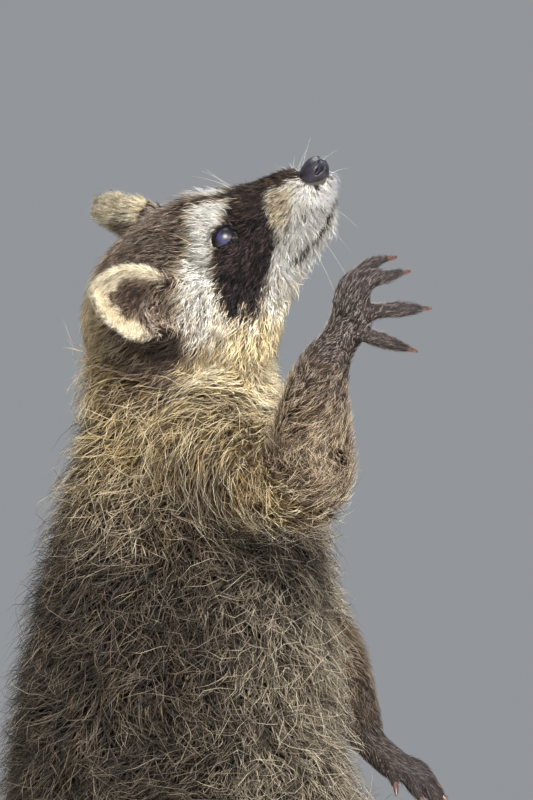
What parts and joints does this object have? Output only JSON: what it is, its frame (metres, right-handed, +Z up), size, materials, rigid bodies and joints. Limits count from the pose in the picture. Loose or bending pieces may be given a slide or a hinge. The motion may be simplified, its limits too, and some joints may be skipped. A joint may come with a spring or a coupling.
{
  "type": "raccoon",
  "caption": "Life-size raccoon that sits up on its haunches with its masked face raised, one forepaw lifted and spread, and its ringed tail on the floor.",
  "frame": {"origin": "centre of the part's bounding box, on the floor it sits on", "axes": "+Z up, -Y the way the trunk faces, +X to the animal's left"},
  "size_m": [0.3176, 0.3986, 0.451],
  "materials": {
    "head_coat": "fur, black mask from the eyes down the cheeks between cream bands, dark brown crown, white muzzle",
    "body_coat": "long grizzled fur, pale cream guard hairs over dark brown underfur",
    "limb_coat": "short grey-brown fur in fine waves",
    "paw_coat": "very short grey-brown hair over dark skin",
    "tail_coat": "bushy fur, dark rings on yellow-grey, dark tip",
    "ear_coat": "short pale cream fur round a dark hollow",
    "eye": "wet, near-black brown",
    "nose_leather": "moist dark grey, pebbled",
    "claw": "horn, reddish brown"
  },
  "bodies": {
    "root": {"head": "head_coat", "neck": "body_coat", "trunk": "body_coat", "tail": "tail_coat", "ear_left": "ear_coat", "ear_right": "ear_coat", "upper_arm_left": "body_coat", "upper_arm_right": "body_coat", "forearm_left": "limb_coat", "forearm_right": "limb_coat", "forepaw_left": "paw_coat", "forepaw_right": "paw_coat", "leg_left": "body_coat", "leg_right": "body_coat", "hindpaw_left": "paw_coat", "hindpaw_right": "paw_coat", "eye_left": "eye", "eye_right": "eye", "nose": "nose_leather", "claw_forepaw_left_1": "claw", "claw_forepaw_left_2": "claw", "claw_forepaw_left_3": "claw", "claw_forepaw_left_4": "claw", "claw_forepaw_left_5": "claw", "claw_forepaw_right_1": "claw", "claw_forepaw_right_2": "claw", "claw_forepaw_right_3": "claw", "claw_forepaw_right_4": "claw", "claw_forepaw_right_5": "claw", "claw_hindpaw_left_1": "claw", "claw_hindpaw_left_2": "claw", "claw_hindpaw_left_3": "claw", "claw_hindpaw_left_4": "claw", "claw_hindpaw_left_5": "claw", "claw_hindpaw_right_1": "claw", "claw_hindpaw_right_2": "claw", "claw_hindpaw_right_3": "claw", "claw_hindpaw_right_4": "claw", "claw_hindpaw_right_5": "claw"}
  },
  "joints": []
}
